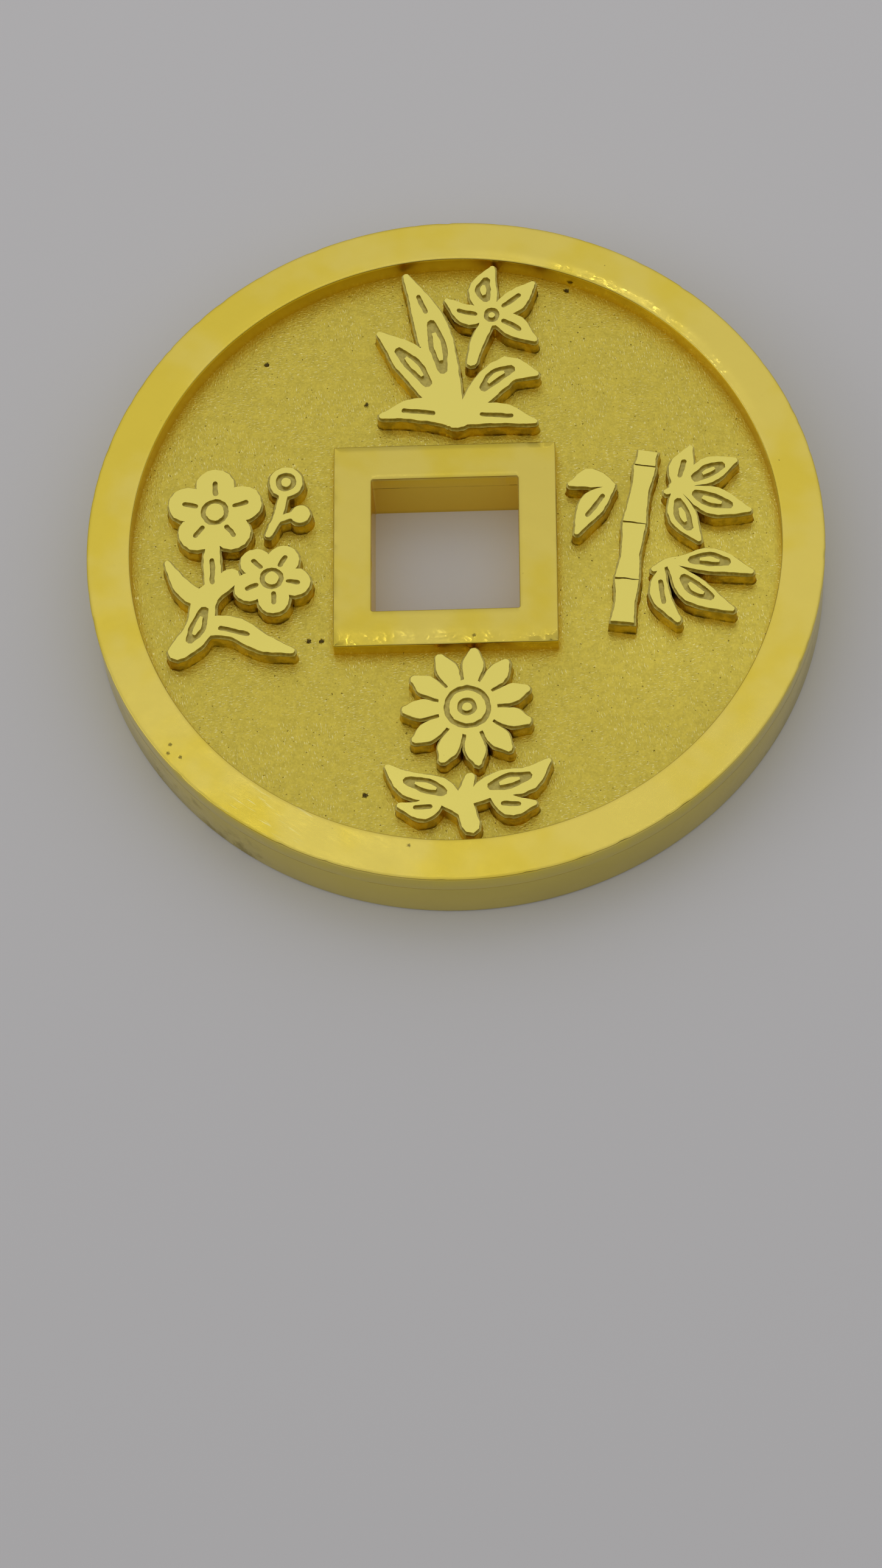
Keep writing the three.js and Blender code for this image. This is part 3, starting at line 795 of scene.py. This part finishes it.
def build_camera(stage):
    """The camera that looks down on the charm from the front."""
    camera = bpy.data.objects.new("camera", bpy.data.cameras.new("camera"))
    bpy.context.scene.collection.objects.link(camera)
    camera.data.lens = stage.lens
    camera.data.clip_start = 0.01
    look = Matrix.Rotation(stage.turn, 4, "Z") @ Matrix.Rotation(math.pi / 2 - stage.pitch, 4, "X")
    place = Matrix.Translation((stage.camera_x, stage.camera_y, stage.camera_z))
    camera.matrix_world = place @ look @ Matrix.Rotation(stage.roll, 4, "Z")
    bpy.context.scene.camera = camera


def build_floor(colours):
    """A plain table top under the charm."""
    bm = bmesh.new()
    bmesh.ops.create_grid(bm, x_segments=8, y_segments=8, size=1.0)
    mesh = bpy.data.meshes.new("table_top")
    bm.to_mesh(mesh)
    bm.free()
    mesh.materials.append(pale_table(colours))
    floor = bpy.data.objects.new("table_top", mesh)
    bpy.context.scene.collection.objects.link(floor)


# ------------------------------------------------------------------------------------------
# Operators


class CHARM_OT_stage(bpy.types.Operator):
    """Make the table, the studio light and the camera"""

    bl_idname = "charm.stage"
    bl_label = "Stage"

    def execute(self, context):
        stage = context.scene.charm_stage
        build_floor(context.scene.charm_colours)
        build_world(stage)
        build_camera(stage)
        panel("far_panel", -4, 62, 0.8, 0.4, 0.3, 0.11)
        panel("left_lamp", -14, 68, 1.0, 0.026, 0.026, 5)
        panel("right_lamp", 9, 69, 1.0, 0.022, 0.022, 5)
        panel("side_panel", -100, 30, 0.9, 0.6, 0.4, 0.6)
        context.scene.view_settings.view_transform = "Standard"
        return {"FINISHED"}


class CHARM_OT_disc(bpy.types.Operator):
    """Make the disc with its square hole and matt field"""

    bl_idname = "charm.disc"
    bl_label = "Disc"

    def execute(self, context):
        colours = context.scene.charm_colours
        build_disc(context.scene.charm_sizes, [shaded_edge_gold(colours), matt_gold(colours)])
        return {"FINISHED"}


class CHARM_OT_mounting(bpy.types.Operator):
    """Make the polished rim and the square frame"""

    bl_idname = "charm.mounting"
    bl_label = "Rim and Frame"

    def execute(self, context):
        sizes = context.scene.charm_sizes
        colours = context.scene.charm_colours
        rim_gold = polished_gold(
            colours, "polished_rim_gold", RIM_LEVEL, 1, tuple(colours.shaded_edge_gold),
            lambda gold: gold.step(gold.radius(), FIELD_RADIUS + 0.3 * MM, FIELD_RADIUS + 0.2 * MM),
            lambda gold: gold.near([(6, 12, 3.2), (8.5, 10.5, 3.2), (10.5, 8.5, 3.2)], 2.6 * MM)
            * gold.step(gold.radius(), FIELD_RADIUS + 0.7 * MM, FIELD_RADIUS + 0.3 * MM))
        frame_gold = polished_gold(
            colours, "polished_frame_gold", SHEET_LEVEL, 0.9, tuple(colours.hole_reflection_gold),
            lambda gold: gold.step(gold.square_radius(), FRAME_HALF - 0.3 * MM, FRAME_HALF - 0.2 * MM),
            lambda gold: gold.step(gold.axis("Y"), 0.8 * MM - FRAME_HALF, 0.3 * MM - FRAME_HALF))
        build_rim(sizes, [rim_gold])
        build_frame(sizes, [frame_gold])
        return {"FINISHED"}


class CHARM_OT_ornaments(bpy.types.Operator):
    """Make the sawn and engraved plant ornaments"""

    bl_idname = "charm.ornaments"
    bl_label = "Ornaments"

    def execute(self, context):
        gold = lapped_gold(context.scene.charm_colours)
        for node in ORNAMENTS:
            build_ornament(node, context.scene.charm_sizes, [gold])
        return {"FINISHED"}


class CHARM_PT_sidebar(bpy.types.Panel):
    """Lists the steps that build the charm"""

    bl_label = "Cash Coin Charm"
    bl_space_type = "VIEW_3D"
    bl_region_type = "UI"
    bl_category = "Charm"

    def draw(self, context):
        for operator in OPERATORS:
            self.layout.operator(operator.bl_idname)
        for group in (context.scene.charm_sizes, context.scene.charm_colours, context.scene.charm_stage):
            box = self.layout.box()
            for key in group.__annotations__:
                box.prop(group, key)


OPERATORS = (CHARM_OT_stage, CHARM_OT_disc, CHARM_OT_mounting, CHARM_OT_ornaments)
CLASSES = (CharmSizes, CharmColours, CharmStage, *OPERATORS, CHARM_PT_sidebar)


def register():
    """Registers the classes and hangs their properties on the scene."""
    for cls in CLASSES:
        bpy.utils.register_class(cls)
    bpy.types.Scene.charm_sizes = PointerProperty(type=CharmSizes)
    bpy.types.Scene.charm_colours = PointerProperty(type=CharmColours)
    bpy.types.Scene.charm_stage = PointerProperty(type=CharmStage)


def unregister():
    """Undoes what register does."""
    del bpy.types.Scene.charm_stage
    del bpy.types.Scene.charm_colours
    del bpy.types.Scene.charm_sizes
    for cls in reversed(CLASSES):
        bpy.utils.unregister_class(cls)


def main():
    """Builds everything."""
    register()
    bpy.ops.charm.stage()
    bpy.ops.charm.disc()
    bpy.ops.charm.mounting()
    bpy.ops.charm.ornaments()


if __name__ == "__main__":
    main()
